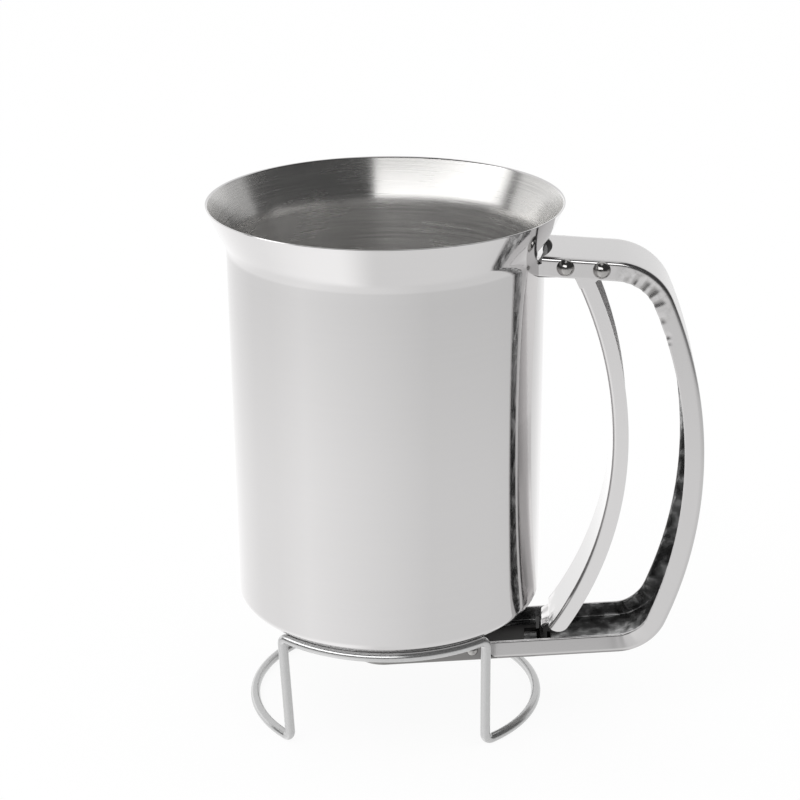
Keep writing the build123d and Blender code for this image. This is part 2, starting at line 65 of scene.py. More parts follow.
HANDLE_WIDTH = 25.0
HANDLE_DEPTH = 5.8
TOP_ARM_DROP = 13.25
TOP_ARM_TILT = 3.1
TOP_BEND = 19.2
GRIP_REACH = 48.35
GRIP_RADIUS = 135.0
GRIP_RISE = 0.4
LOW_BEND = 16.7
ARM_TILT = 5.4
VALVE_DROP = 22.3
NOTCH_RADIUS = 27.0
NOTCH_GAP = 2.2
WALL_START = 32.5
WALL_CORNER = 2.5
EAR_START = 20.8
EAR_END = 31.5
EAR_OUTER = 10.1
EAR_TOP = 5.6

WIRE_RADIUS = 1.5
STAND_RADIUS = 44.6
STAND_SPREAD = 43.0
STAND_BEND = 2.3
STAND_TURN = 1.5
SEAT_GAP = 0.1

RIVET_HEAD = 2.6
RIVET_RISE = 2.0
RIVET_SHANK = 1.1
LOW_RIVET_HEAD = 1.9
LOW_RIVET_RISE = 1.3
LOW_RIVET_SHANK = 1.0
RIVET_SEAT = 0.05          # how deep a head sits in the sheet
RIVET_FOOT = (0.4, 0.96)   # of a head's radius, where its underside is divided and where it ends
TROUGH_WIDTH = 22.0

SHARP_ANGLE = radians(38)  # edges that are sharper stay hard

# The rim's cut edge: how far in and down its corners lie from those of a sharp edge.
RIM_OUTER = (0.05, 0.12)
RIM_CROWN = (0.14, 0.34)   # both ends of its flat top
RIM_INNER = (0.12, 0.10)
RIM_FOOT = 0.36            # how far down the inner skin starts

# How finely the shapes are divided.
CUP_SIDES = 240
FLOOR_STEPS = 8
CORNER_STEPS = 12
WALL_STEPS = 30
FLARE_STEPS = 10
CHANNEL_ROWS = 12
CHANNEL_BEND_STEPS = 6
RIVET_SIDES = 48
RIVET_STEPS = 14
SHANK_SIDES = 32
WIRE_SIDES = 28
WIRE_ARC_STEPS = 44
WIRE_BEND_STEPS = 10
WIRE_LEG_STEPS = 15

# ---- camera, in metres and degrees ----
HANDLE_TURN = 4.5          # degrees by which the handle stands towards the viewer
CAMERA_DISTANCE = 0.56531
CAMERA_HEIGHT = 0.31376
CAMERA_PITCH = 20.765
CAMERA_YAW = 0.394
CAMERA_ROLL = -0.432
FOCAL_PIXELS = 1998.45
FRAME_PIXELS = 800.0
SENSOR = 36.0


# ---- shader graphs ----

class Value:
    """An output socket that takes part in Python arithmetic; each operation adds a Math node."""

    def __init__(self, graph, socket):
        self.graph = graph
        self.socket = socket

    def math(self, operation, *others):
        sockets = dict(enumerate((self, *others)))
        return self.graph.add("ShaderNodeMath", {"operation": operation}, sockets)

    def __add__(self, other):
        return self.math("ADD", other)

    def __sub__(self, other):
        return self.math("SUBTRACT", other)

    def __mul__(self, other):
        return self.math("MULTIPLY", other)

    def __truediv__(self, other):
        return self.math("DIVIDE", other)

    def __rsub__(self, other):
        return self.graph.add("ShaderNodeMath", {"operation": "SUBTRACT"}, {0: other, 1: self})

    __radd__ = __add__
    __rmul__ = __mul__


class Graph:
    """A node tree that is being filled."""

    def __init__(self, owner):
        owner.use_nodes = True
        self.tree = owner.node_tree
        self.tree.nodes.clear()

    def add(self, kind, settings=None, sockets=None, out=0):
        """Node with its settings, then its inputs as numbers or links; gives one of its outputs."""
        node = self.tree.nodes.new(kind)
        for name, value in (settings or {}).items():
            if name == "stops":
                self.fill_ramp(node.color_ramp, value)
            else:
                setattr(node, name, value)
        for name, value in (sockets or {}).items():
            if isinstance(value, Value):
                self.tree.links.new(value.socket, node.inputs[name])
            else:
                node.inputs[name].default_value = value
        return Value(self, node.outputs[out]) if node.outputs else None

    @staticmethod
    def fill_ramp(ramp, stops):
        """Stops are pairs of a place from 0 to 1 and a grey."""
        while len(ramp.elements) < len(stops):
            ramp.elements.new(0.5)
        for element, (place, grey) in zip(ramp.elements, stops):
            element.position = place
            element.color = (grey, grey, grey, 1)

    def ramp(self, factor, stops, interpolation="EASE"):
        node = self.add("ShaderNodeValToRGB", {"stops": stops}, {"Fac": factor})
        node.socket.node.color_ramp.interpolation = interpolation
        return node

    def step(self, value, low, high):
        """0 below low, 1 above high, eased between."""
        return self.add(
            "ShaderNodeMapRange", {"interpolation_type": "SMOOTHSTEP"},
            {"Value": value, "From Min": low, "From Max": high, "To Min": 0.0, "To Max": 1.0},
        )

    def blend(self, factor, low, high):
        """Number that runs from low to high as the factor goes from 0 to 1."""
        return self.add("ShaderNodeMix", {"data_type": "FLOAT"}, {0: factor, 2: low, 3: high})

    def tint(self, factor, low, high):
        """Colour that runs from low to high."""
        return self.add("ShaderNodeMix", {"data_type": "RGBA"}, {0: factor, 6: low, 7: high}, out=2)

    def vector(self, x, y, z):
        return self.add("ShaderNodeCombineXYZ", None, {"X": x, "Y": y, "Z": z})

    def split(self, vector):
        sockets = {"Vector": vector}
        return [self.add("ShaderNodeSeparateXYZ", None, sockets, out=i) for i in range(3)]

    def noise(self, vector, scale, detail=2.0, roughness=0.5):
        return self.add(
            "ShaderNodeTexNoise", None,
            {"Vector": vector, "Scale": scale, "Detail": detail, "Roughness": roughness},
        )


# ---- steel ----

# Grain per metre along X, Y and Z for each straight lay, and across and along a round one.
LAYS = {
    "upright": (1500.0, 1500.0, 40.0),
    "along": (40.0, 1500.0, 1500.0),
    "across": (900.0, 30.0, 900.0),
}
ROUND_GRAIN = 1500.0
ROUND_STREAKS = 1.6

# Places between which a finish fades in or out, in metres: along X, across |Y| or up Z.
BRIGHT_MOUTH_Z = (0.1465, 0.1525)
FOOT_Y = (0.0094, 0.0102)
FOOT_Z = (0.0290, 0.0330)
# LOW_EDGE: where the painted shade on the lower arm's bottom edge fades out.
LOW_EDGE_RISE = (0.0159, 0.0168)
LOW_EDGE_X = (0.072, 0.080)
STRETCHED_X = (0.069, 0.078)
STRETCHED_Z = (0.106, 0.120)
MOTTLED_X = (0.0645, 0.071)
MOTTLED_Y = (0.0114, 0.0120)
MOTTLED_Z = (0.127, 0.139)
# Height over which the painted shade inside the channel turns lighter.
LIGHTER_ABOVE_Z = (0.072, 0.094)
BORDER_DRIFT = 0.05         # how far the patches move that border up and down
HOLLOW_FACING = (-0.003, -0.001)  # Y of the facing times Y of the place: below 0 it looks inwards

WORN_METAL = 0.78
BRIGHT_METAL = 0.965
HOLLOW_METAL = 0.62
# PAINTED_SHADE_GREY darkens the creases and the lower arm's bottom edge as painted shade;
# MOTTLED_GREY is the sheet's own uneven tone.
PAINTED_SHADE_GREY = (0.16, 0.155, 0.15, 1)
MOTTLED_GREY = (0.30, 0.29, 0.285, 1)
LOW_EDGE_SHADE_SHARE = 0.8
MOTTLED_SHARE = 0.45
CREASE_MATT = 0.12         # roughness that is added in the creases, and over the stretched bend
STRETCHED_MATT = 0.06
# Point attribute that holds the painted shade along the creases' steep flanks.
CREASE_SHADE_ATTRIBUTE = "crease_dark"

# Patterns, in cells per metre, and the part of a pattern's range that makes spots.
CLOUD_WEIGHT = 4.0
CLOUD_SCALE = 55.0
CLOUD_SPOTS = (0.42, 0.75)
MOTTLE_SCALE = 380.0
MOTTLE_SPOTS = (0.42, 0.72)
CRUMPLE_SCALE = 210.0
DIMPLE_SCALE = 620.0
FINE_SCALE = 6             # finer cells in each of a shaded sheet's patches
PATCH_WEIGHT = 0.88
FINE_WEIGHT = 0.12


def grain_coordinates(graph, lay):
    """Object coordinates stretched along the direction in which a surface was rubbed."""
    point = graph.add("ShaderNodeTexCoord", out="Object")
    if lay == "round":
        x, y, z = graph.split(point)
        reach = (x * x + y * y).math("SQRT")
        return graph.vector(x / reach * ROUND_STREAKS, y / reach * ROUND_STREAKS,
                            z * ROUND_GRAIN + reach * ROUND_GRAIN)
    return graph.add("ShaderNodeVectorMath", {"operation": "MULTIPLY"}, {0: point, 1: LAYS[lay]})


def worn_inside(graph, point):
    """Bright metal in the flared mouth; deeper down the wall is dulled by use."""
    height = graph.split(point)[2]
    return graph.blend(graph.step(height, *BRIGHT_MOUTH_Z), WORN_METAL, BRIGHT_METAL)


def dull_hollow(graph, point):
    """Duller metal on the faces of the lever's walls that look at each other."""
    facing = graph.split(graph.add("ShaderNodeTexCoord", out="Normal"))[1]
    outward = facing * graph.split(point)[1]
    return graph.blend(graph.step(outward, *HOLLOW_FACING), HOLLOW_METAL, 1.0)


def foot_mask(graph, point):
    """The lever's foot between its two walls, where the sheet is crumpled into the tongue."""
    _, y, z = graph.split(point)
    between = 1 - graph.step(y.math("ABSOLUTE"), *FOOT_Y)
    return between * (1 - graph.step(z, *FOOT_Z))


def low_edge_shade(graph, point):
    """The lower arm's bottom edge along its fold, darkened by painted shade."""
    x, _, z = graph.split(point)
    rise = z * cos(radians(ARM_TILT)) - x * sin(radians(ARM_TILT))
    return (1 - graph.step(rise, *LOW_EDGE_RISE)) * (1 - graph.step(x, *LOW_EDGE_X))


def stretched(graph, point):
    """Where the grip's upper bend has stretched and crumpled the sheet, which leaves it matt."""
    x, _, z = graph.split(point)
    return graph.step(x, *STRETCHED_X) * graph.step(z, *STRETCHED_Z)


def mottled(graph, point):
    """Uneven dull spots on the channel's walls in that bend; the web stays smooth."""
    x, y, z = graph.split(point)
    wall = graph.step(y.math("ABSOLUTE"), *MOTTLED_Y)
    spots = graph.step(graph.noise(point, MOTTLE_SCALE, 2.0, 0.6), *MOTTLE_SPOTS)
    return spots * wall * graph.step(x, *MOTTLED_X) * graph.step(z, *MOTTLED_Z)


def bump_node(graph, height, distance, under=None):
    """Relief of the given height in metres, on top of another relief where there is one."""
    sockets = {"Strength": 1.0, "Distance": distance, "Height": height}
    if under is not None:
        sockets["Normal"] = under
    return graph.add("ShaderNodeBump", None, sockets)


def steel(name, colour, roughness, spread, lay, bump, smudge=0.05, streak_tint=0.08, stretch=0.0,
          metal=1.0, crease_shade_share=0.0, dimple=0.0, crumple=0.0):
    """Bare steel: rubbed grain in the given lay, faint smudges, and roughness that follows both."""
    material = bpy.data.materials.new(name)
    graph = Graph(material)
    point = graph.add("ShaderNodeTexCoord", out="Object")
    streaks = graph.noise(grain_coordinates(graph, lay), 1.0, 3.0, 0.6)
    clouds = graph.noise(point, CLOUD_SCALE, 3.0, 0.55)
    dark = tuple(c * (1 - 2 * streak_tint) for c in colour)
    shade = graph.tint(streaks, (*dark, 1), (*colour, 1))
    stained = tuple(c * (1 - smudge) for c in colour)
    cloud_mask = graph.step(clouds, *CLOUD_SPOTS)
    base = graph.tint(cloud_mask * smudge * CLOUD_WEIGHT, shade, (*stained, 1))
    rough = (streaks - 0.5) * spread + (clouds - 0.5) * (spread * 0.6) + roughness
    # Painted shade: darker along the creases' steep flanks and along the lower arm's bottom edge,
    # where shade falls.
    if crease_shade_share:
        crease_shade = graph.add("ShaderNodeAttribute", {"attribute_name": CREASE_SHADE_ATTRIBUTE}, out="Fac")
        base = graph.tint(crease_shade * crease_shade_share, base, PAINTED_SHADE_GREY)
        base = graph.tint(low_edge_shade(graph, point) * LOW_EDGE_SHADE_SHARE, base, PAINTED_SHADE_GREY)
        base = graph.tint(mottled(graph, point) * MOTTLED_SHARE, base, MOTTLED_GREY)
        rough = rough + stretched(graph, point) * STRETCHED_MATT + crease_shade * CREASE_MATT
    relief = bump_node(graph, streaks, bump)
    if crumple:
        folds = graph.noise(point, CRUMPLE_SCALE, 0.0, 0.5) * foot_mask(graph, point)
        relief = bump_node(graph, folds, crumple, relief)
    if dimple:
        relief = bump_node(graph, graph.noise(point, DIMPLE_SCALE, 2.0, 0.5), dimple, relief)
    surface = graph.add(
        "ShaderNodeBsdfPrincipled", None,
        {"Base Color": base, "Metallic": metal(graph, point) if callable(metal) else metal,
         "Roughness": rough, "Normal": relief,
         "Anisotropic": stretch, "Anisotropic Rotation": 0.25 if stretch else 0.0},
    )
    graph.add("ShaderNodeOutputMaterial", None, {"Surface": surface})
    return material


def painted_shade_sheet(name, shades, grain, roughness, relief_height, metallic, lighter_above=0.0):
    """Sheet inside a folded channel in painted shade: dark, with painted glints in spots over its
    bumps, lighter higher up.
    """
    material = bpy.data.materials.new(name)
    graph = Graph(material)
    point = graph.add("ShaderNodeTexCoord", out="Object")
    patches = graph.noise(point, grain, 1.0, 0.4)
    fine = graph.noise(point, grain * FINE_SCALE, 2.0, 0.5)
    height = graph.split(point)[2] + (patches - 0.5) * BORDER_DRIFT
    upper_lighter = graph.step(height, *LIGHTER_ABOVE_Z)
    # Painted shade and painted glints: a dark ramp with bright spots where the patches rise.
    base = graph.ramp(patches * PATCH_WEIGHT + fine * FINE_WEIGHT + upper_lighter * lighter_above, shades)
    rough = (fine - 0.5) * 0.1 + roughness
    relief = bump_node(graph, patches, relief_height)
    surface = graph.add(
        "ShaderNodeBsdfPrincipled", None,
        {"Base Color": base, "Metallic": metallic, "Roughness": rough, "Normal": relief},
    )
    graph.add("ShaderNodeOutputMaterial", None, {"Surface": surface})
    return material


POLISHED = steel("polished_steel", (0.70, 0.69, 0.69), roughness=0.07, spread=0.02, lay="round",
                 bump=0.0000002, smudge=0.03, streak_tint=0.012)
BRUSHED = steel("brushed_steel", (0.80, 0.79, 0.775), roughness=0.25, spread=0.16, lay="round",
                bump=0.000016, smudge=0.08, streak_tint=0.20, stretch=0.9, metal=worn_inside)
HANDLE = steel("handle_steel", (0.66, 0.65, 0.65), roughness=0.13, spread=0.04, lay="upright",
               bump=0.0000005, smudge=0.05, streak_tint=0.02, crease_shade_share=0.6)
LEVER = steel("lever_steel", (0.73, 0.72, 0.72), roughness=0.12, spread=0.03, lay="upright",
              bump=0.0000003, smudge=0.04, streak_tint=0.015, metal=dull_hollow, crumple=0.0007)
# Painted shade inside the handle's channel; SHADED is painted shade on the trough's cap and the
# cup's bracket.
HOLLOW_SHADED = painted_shade_sheet("hollow_painted_shade_steel", [(0.3, 0.06), (0.46, 0.10), (0.57, 0.25), (0.70, 0.55)],
                    grain=230.0, roughness=0.25, relief_height=0.00014, metallic=0.72, lighter_above=0.16)
SHADED = painted_shade_sheet("shaded_steel", [(0.0, 0.03), (0.5, 0.06), (0.62, 0.11), (0.74, 0.18)],
                    grain=160.0, roughness=0.3, relief_height=0.00012, metallic=0.9)
# Pressed steel whose grey is darkened with painted shade, for the cup's shade on the parts beneath
# it.
PRESSED_SHADED = steel("pressed_steel", (0.26, 0.255, 0.25), roughness=0.30, spread=0.10, lay="along",
                bump=0.000003)
# Painted shade: the slide is made near black for the shade it lies in, under the cup inside the
# channel.
SLIDE_SHADED = steel("slide_steel", (0.035, 0.034, 0.033), roughness=0.42, spread=0.10, lay="along",
              bump=0.000003)
RIVET = steel("rivet_steel", (0.46, 0.45, 0.44), roughness=0.12, spread=0.03, lay="across",
              bump=0.0000005, dimple=0.00013)
SPRING = steel("spring_steel", (0.42, 0.41, 0.40), roughness=0.24, spread=0.1, lay="across",
               bump=0.000003)
WIRE = steel("wire_steel", (0.62, 0.62, 0.62), roughness=0.20, spread=0.06, lay="across",
             bump=0.000002, smudge=0.08, streak_tint=0.06, metal=0.86)


# ---- meshes ----

def mesh_object(name, points, faces, materials, face_materials=None):
    """Smooth mesh from points in millimetres; edges where faces meet sharply stay hard."""
    mesh = bpy.data.meshes.new(name)
    mesh.from_pydata([[c * MM for c in p] for p in points], [], faces)
    for material in materials:
        mesh.materials.append(material)
    if face_materials:
        mesh.polygons.foreach_set("material_index", face_materials)
    mesh.polygons.foreach_set("use_smooth", [True] * len(mesh.polygons))
    mesh.validate()
    mesh.set_sharp_from_angle(angle=SHARP_ANGLE)
    piece = bpy.data.objects.new(name, mesh)
    bpy.context.scene.collection.objects.link(piece)
    return piece


def arc_points(centre, radius, start, end, count):
    """Points on an arc, in degrees, both ends included."""
    angles = [radians(start + (end - start) * i / count) for i in range(count + 1)]
    return [(centre[0] + radius * cos(a), centre[1] + radius * sin(a)) for a in angles]


def turned(profile, around):
    """Points of a profile of (radius, height), repeated about Z."""
    points = []
    for i in range(around):
        turn = 2 * pi * i / around
        points += [(r * cos(turn), r * sin(turn), z) for r, z in profile]
    return points


def lathe(profile, name, materials, bands, around):
    """Closed ring of a profile turned about Z; bands gives the material of each of its edges."""
    points = turned(profile, around)
    faces = []
    indices = []
    count = len(profile)
    for i in range(around):
        here, there = i * count, (i + 1) % around * count
        for j in range(count):
            k = (j + 1) % count
            faces.append((here + j, there + j, there + k, here + k))
            indices.append(bands[j])
    return mesh_object(name, points, faces, materials, indices)


def subdivided(start, end, pieces):
    """Points on a straight line, both ends included."""
    width = end[0] - start[0]
    height = end[1] - start[1]
    return [(start[0] + width * i / pieces, start[1] + height * i / pieces)
            for i in range(pieces + 1)]


def cup_profile():
    """The cup's profile and the material of each of its edges: 0 outside and on the rim, 1 inside.

    It runs from the floor's hole up to the rim, over the rim's edge, and back down inside.
    """
    lean = atan2(RIM_RADIUS - CUP_RADIUS, FLARE_HEIGHT)
    reach = FLARE_BLEND * tan(lean / 2)
    centre = (CUP_RADIUS + FLARE_BLEND, RIM_HEIGHT - FLARE_HEIGHT - reach)
    corner = (CUP_RADIUS - CUP_CORNER, CUP_BASE + CUP_CORNER)
    skin = subdivided((FLOOR_HOLE, CUP_BASE), (corner[0], CUP_BASE), FLOOR_STEPS)
    skin += arc_points(corner, CUP_CORNER, -90, 0, CORNER_STEPS)[1:]
    skin += subdivided(skin[-1], (CUP_RADIUS, centre[1]), WALL_STEPS)[1:]
    skin += arc_points(centre, FLARE_BLEND, 180, 180 - degrees(lean), FLARE_STEPS)[1:]
    rim = RIM_RADIUS - RIM_OUTER[0]
    skin += subdivided(skin[-1], (rim, RIM_HEIGHT - RIM_OUTER[1]), FLARE_STEPS)[1:]
    sheet_across = -cos(lean) * SHEET
    inside = RIM_RADIUS + sheet_across
    lip = [
        (RIM_RADIUS - RIM_CROWN[0], RIM_HEIGHT),
        (inside + RIM_CROWN[1], RIM_HEIGHT),
        (inside + RIM_INNER[0], RIM_HEIGHT - RIM_INNER[1]),
    ]
    inner = [(rim + sheet_across, RIM_HEIGHT - RIM_FOOT)]
    inner += arc_points(centre, FLARE_BLEND + SHEET, 180 - degrees(lean), 180, FLARE_STEPS)
    inner += subdivided(inner[-1], (CUP_RADIUS - SHEET, corner[1]), WALL_STEPS)[1:]
    inner += arc_points(corner, CUP_CORNER - SHEET, 0, -90, CORNER_STEPS)[1:]
    inner += subdivided(inner[-1], (FLOOR_HOLE, CUP_BASE + SHEET), FLOOR_STEPS)[1:]
    bands = [0] * (len(skin) + len(lip)) + [1] * len(inner)
    return skin + lip + inner, bands


def make_cup():
    profile, bands = cup_profile()
    piece = lathe(profile, "cup_shell", [POLISHED, BRUSHED], bands, CUP_SIDES)
    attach(piece, "dispenser")
    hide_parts("cup")


# ---- handle ----

TOP_DIRECTION = Vector((cos(radians(TOP_ARM_TILT)), -sin(radians(TOP_ARM_TILT))))
TOP_INWARD = Vector((-sin(radians(TOP_ARM_TILT)), -cos(radians(TOP_ARM_TILT))))
LOW_DIRECTION = Vector((cos(radians(ARM_TILT)), sin(radians(ARM_TILT))))
LOW_INWARD = Vector((-sin(radians(ARM_TILT)), cos(radians(ARM_TILT))))
TOP_START = Vector((CUP_RADIUS, RIM_HEIGHT - TOP_ARM_DROP))
LOW_START = Vector((0.0, CUP_BASE - VALVE_DROP)) + LOW_INWARD * SHEET
GRIP_CENTRE = Vector((CUP_RADIUS + GRIP_REACH - GRIP_RADIUS,
                      (TOP_START.y + LOW_START.y) / 2 + GRIP_RISE))
NARROW_START = LOW_START + LOW_DIRECTION * WALL_START
NARROW_END = LOW_START + LOW_DIRECTION * EAR_START

# Distance between the sections along each stretch of the handle.
TOP_PITCH = 0.8
UPPER_BEND_PITCH = 0.3
GRIP_PITCH = 0.45
LOWER_BEND_PITCH = 0.35
LOWER_PITCH = 0.5
NARROW_PITCH = 1.0

# Places across the web where its faces end, on either side of the ears and between them.
WEB_STOPS = [-10.3, -EAR_OUTER] + [-9.0 + 1.5 * i for i in range(13)] + [EAR_OUTER, 10.3]
NARROW_STOPS = [-8.0 + 2.0 * i for i in range(9)]
NARROW_BEND = 1.0
LIP_ROUND = 0.3            # of EDGE, at the corners of a cut edge
TOLERANCE = 0.01


def bend_centre(start, direction, inward, radius):
    """Centre of a bend that is tangent to an arm and, from inside, to the grip's bow."""
    base = start + inward * radius - GRIP_CENTRE
    along = base.dot(direction)
    reach = (GRIP_RADIUS - radius) ** 2 - base.dot(base)
    return GRIP_CENTRE + base + direction * (-along + sqrt(along**2 + reach))


def bearing(centre, point):
    return degrees(atan2(point.y - centre.y, point.x - centre.x))


def line_stations(start, end, inward, step):
    count = max(1, round((end - start).length / step))
    return [(start.lerp(end, i / count), inward) for i in range(count)]


def arc_stations(centre, radius, start, end, step):
    count = max(1, round(abs(radians(end - start)) * radius / step))
    stations = []
    for i in range(count):
        angle = radians(start + (end - start) * i / count)
        out = Vector((cos(angle), sin(angle)))
        stations.append((centre + out * radius, -out))
    return stations


def handle_stations():
    """Places along the handle's outer face with the inward direction, and each stretch's start."""
    high = bend_centre(TOP_START, TOP_DIRECTION, TOP_INWARD, TOP_BEND)
    low = bend_centre(LOW_START, LOW_DIRECTION, LOW_INWARD, LOW_BEND)
    high_bearing = bearing(GRIP_CENTRE, high)
    low_bearing = bearing(GRIP_CENTRE, low)
    arm_start = low - LOW_INWARD * LOW_BEND
    stretches = [
        line_stations(TOP_START, high - TOP_INWARD * TOP_BEND, TOP_INWARD, TOP_PITCH),
        arc_stations(high, TOP_BEND, 90 - TOP_ARM_TILT, high_bearing, UPPER_BEND_PITCH),
        arc_stations(GRIP_CENTRE, GRIP_RADIUS, high_bearing, low_bearing, GRIP_PITCH),
        arc_stations(low, LOW_BEND, low_bearing, ARM_TILT - 90, LOWER_BEND_PITCH),
        line_stations(arm_start, NARROW_START, LOW_INWARD, LOWER_PITCH),
    ]
    starts = []
    stations = []
    for stretch in stretches:
        starts.append(len(stations))
        stations += stretch
    stations.append((NARROW_START, LOW_INWARD))
    return stations, starts


def channel_section(half, depth, radius, web_stops):
    """Closed section of a folded channel as (v, depth, is_outer, side); side is 0 on the web."""
    top = depth - EDGE

    def skin(v, bend):
        """One wall's line from its free edge down and round the bend."""
        wall = [(v, top - (top - radius) * i / CHANNEL_ROWS) for i in range(CHANNEL_ROWS + 1)]
        return wall + arc_points((-half + radius, radius), bend, 180, 270, CHANNEL_BEND_STEPS)[1:]

    outer = skin(-half, radius)
    inner = skin(-half + SHEET, radius - SHEET)
    trim = EDGE * LIP_ROUND
    lip = [(-half + trim, depth - trim), (-half + EDGE, depth),
           (-half + SHEET - EDGE, depth), (-half + SHEET - trim, depth - trim)]
    near = [(v, d, True, -1) for v, d in outer]
    middle = [(v, 0.0, True, 0) for v in web_stops]
    far = [(-v, d, True, 1) for v, d in reversed(outer)]
    far_lip = [(-v, d, True, 1) for v, d in lip]
    far_in = [(-v, d, False, 1) for v, d in inner]
    middle_in = [(v, SHEET, False, 0) for v in reversed(web_stops)]
    near_in = [(v, d, False, -1) for v, d in reversed(inner)]
    near_lip = [(v, d, True, -1) for v, d in reversed(lip)]
    return near + middle + far + far_lip + far_in + middle_in + near_in + near_lip


def clamp(share):
    return min(1.0, max(0.0, share))


def ease(share):
    """0 to 1, slow at both ends."""
    share = clamp(share)
    return share * share * (3 - 2 * share)


def swell(value, start, end, fade):
    """1 between start and end, eased to 0 over the fade on both sides."""
    rising = clamp((value - start + fade) / fade)
    falling = clamp((end + fade - value) / fade)
    return ease(rising * falling)


# Creases where the grip's upper bend squeezes the channel's walls: how far from the bend's start,
# the length of the steep flank, the height, and the share of the wall from its free edge.
CREASES = (
    (3.6, 1.2, 0.10, 0.60),
    (7.0, 1.3, 0.17, 0.75),
    (11.2, 1.6, 0.23, 0.95),
    (15.0, 1.8, 0.24, 0.98),
    (19.4, 1.7, 0.20, 0.90),
    (25.4, 1.4, 0.14, 0.50),
    (31.2, 0.9, 0.24, 0.42),
    (33.3, 0.9, 0.14, 0.36),
)
GENTLE = 2.0               # length of a crease's gentle flank against its steep one
FAR_LAG = 1.3              # the far wall's creases stand this much further on
CREASE_WANDER = 0.35       # how far a crease strays from a straight line up the wall
CREASE_FADE = 0.35         # share of the wall over which a crease dies out
CREASE_TWIST = 2.5         # how fast it strays from the web to the free edge
CREASE_DRAG = 0.5          # of a crease's depth, by which it moves the wall's free edge outwards
DARKENING = 4.0            # a crease of a quarter of a millimetre gets the full painted shade
DARK_AHEAD = 0.2           # the painted shade line's middle and half width, on the steep flank
DARK_WIDTH = 0.95
STEEP_SHARE = 0.38         # of a wrinkle's pitch, on its steep flank

# The lower bend's ripples on the outside of the walls, and its folds inside the channel.
BENT_BEFORE = 2.0          # how far they start before the bend, end after it, and fade out
BENT_AFTER = 1.0
BENT_FADE = 5.0
RIPPLE_PITCH = 4.0
RIPPLE_DEPTH = 0.04
FOLD_PITCH = 3.6
FOLD_DEPTH = 0.3

# Dents that the folding tools left inside the channel.
DENT_SIZE = 4.2
DENT_STRETCH = 1.4         # how much closer they stand across the handle
DENT_DEPTH = 0.75
DENT_FOOT = 0.25           # share of their depth at the foot of a wall
DENT_START = 22.0          # from the start of the grip
DENT_END = 6.0             # before the end of the lower arm
DENT_FADE = 14.0
SLIDE_REACH = 42.0         # length of the lower arm over which the slide runs close to the web
SLIDE_FADE = 6.0
SLIDE_ROOM = -0.45         # share of their depth there: into the sheet, to keep the slide free

PINCH = 0.70               # how far the lower arm's edges lean in
PINCH_BEFORE = 2.0         # how far before the arm the leaning starts, and over what it fades in
PINCH_FADE = 11.0


def crease(distance, side, rise):
    """Depth of the creases at a distance along the bend, and how dark the painted shade on them is
    there.

    The depth grows slowly along the gentle flank and goes quickly along the steep one.
    """
    depth = 0.0
    dark = 0.0
    for start, flank, height, share in CREASES:
        ahead = distance - start - (FAR_LAG if side > 0 else 0.0)
        ahead += CREASE_WANDER * noise.noise(Vector((start, side, rise * CREASE_TWIST)))
        slope = ease(1 + ahead / (GENTLE * flank)) if ahead < 0 else ease(1 - ahead / flank)
        within = ease((rise - 1 + share) / CREASE_FADE)
        depth += height * slope * within
        off_flank = (ahead - DARK_AHEAD * flank) / (DARK_WIDTH * flank)
        dark = max(dark, min(1.0, height * DARKENING) * within * ease(1 - off_flank**2))
    return depth, dark


def wrinkle(reach, side, pitch):
    """Ripples with one steep flank, uneven in pitch and height: 1 on a crest, less between."""
    drift = noise.noise(Vector((reach * 0.16, 7.3 * side, 1.7))) * 2.0
    phase = (reach + drift) / pitch
    count = phase // 1
    share = phase - count
    height = min(1.0, 0.75 + 0.8 * noise.noise(Vector((count * 1.37, 3.1 * side, 9.2))))
    if share < 1 - STEEP_SHARE:
        fall = ease(share / (1 - STEEP_SHARE))
    else:
        fall = ease((1 - share) / STEEP_SHARE)
    return 1 - height * fall


def dent(place, v):
    """Uneven dents, in two sizes."""
    point = Vector((place.x, v * DENT_STRETCH, place.y)) / DENT_SIZE
    return noise.noise(point) + 0.5 * noise.noise(point * 2.3 + Vector((4.1, 0, 0)))


def handle_shift(reach, marks, place, v, d, outer, side):
    """How far the sheet stands off its plain form, across the handle and inwards."""
    _, upper_bend, grip, lower_bend, lower_arm, end = marks
    across = 0.0
    inward = 0.0
    rise = max(0.0, (d - BEND) / (HANDLE_DEPTH - BEND))
    bent = swell(reach, lower_bend - BENT_BEFORE, lower_arm + BENT_AFTER, BENT_FADE)
    lower = swell(reach, lower_arm - PINCH_BEFORE, end, PINCH_FADE)
    if side:
        depth = crease(reach - upper_bend, side, rise)[0]
        across -= side * depth
        inward -= CREASE_DRAG * depth * rise
        across -= side * PINCH * lower * rise
        across -= side * RIPPLE_DEPTH * bent * rise * wrinkle(reach, side + 4, RIPPLE_PITCH)
    if not outer:
        marked = swell(reach, grip + DENT_START, end - DENT_END, DENT_FADE)
        mark = DENT_DEPTH * marked * dent(place, v)
        folds = FOLD_DEPTH * bent * wrinkle(reach, side + 9, FOLD_PITCH)
        if side:
            growth = DENT_FOOT + (1 - DENT_FOOT) * rise
            across -= side * (abs(mark) + folds) * growth * (1 - rise**8)
        else:
            clear = swell(reach, 0.0, end - SLIDE_REACH, SLIDE_FADE)
            room = SLIDE_ROOM + (1 - SLIDE_ROOM) * clear
            inward += abs(mark) * room + 0.5 * folds
    return across, inward


def top_end(v, d):
    """x where the top arm stops: a hollow edge on the web, the cup's own curve on the walls."""
    if d < SHEET + BEND:
        return CUP_RADIUS + NOTCH_GAP - NOTCH_RADIUS + sqrt(NOTCH_RADIUS**2 - v**2)
    return sqrt(CUP_RADIUS**2 - v**2)


